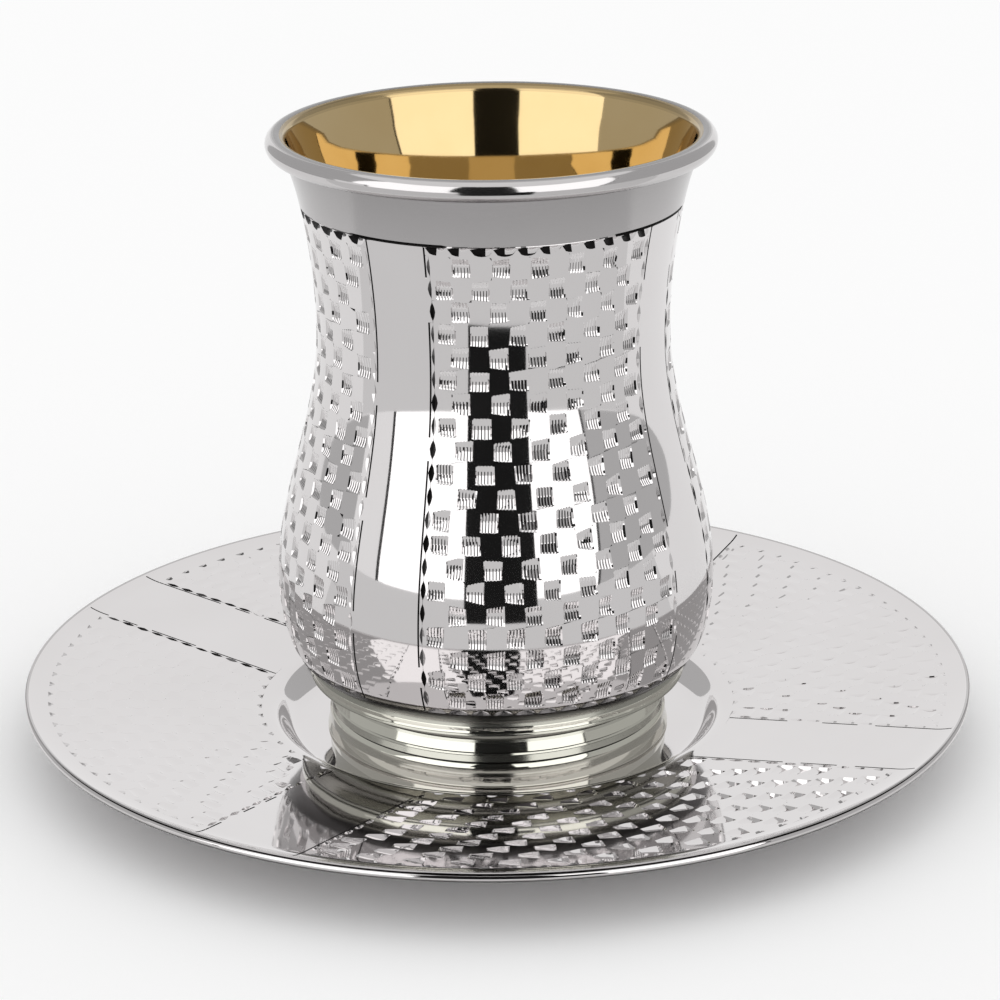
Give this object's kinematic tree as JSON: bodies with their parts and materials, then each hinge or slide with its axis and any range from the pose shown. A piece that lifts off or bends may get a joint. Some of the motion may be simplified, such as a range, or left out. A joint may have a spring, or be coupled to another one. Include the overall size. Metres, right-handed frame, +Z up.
{
  "type": "kiddush cup with saucer",
  "caption": "Waisted silver cup, gilt inside, on a reeded ring foot, standing in the well of its matching saucer, both with punched basket-weave fields and plain stripes.",
  "frame": {"origin": "middle of the saucer's flat underside, on the table", "axes": "+Z up along the cup's axis, -Y towards the viewer of the picture"},
  "size_m": [0.1399, 0.1398, 0.0912],
  "materials": {
    "cup_silver": "polished silver, punched and engraved, gilt inside",
    "foot_silver": "polished silver with a warm tint",
    "saucer_silver": "polished silver, punched and engraved"
  },
  "bodies": {
    "root": {"cup_body": "cup_silver", "foot_ring": "foot_silver", "saucer": "saucer_silver"}
  },
  "joints": []
}
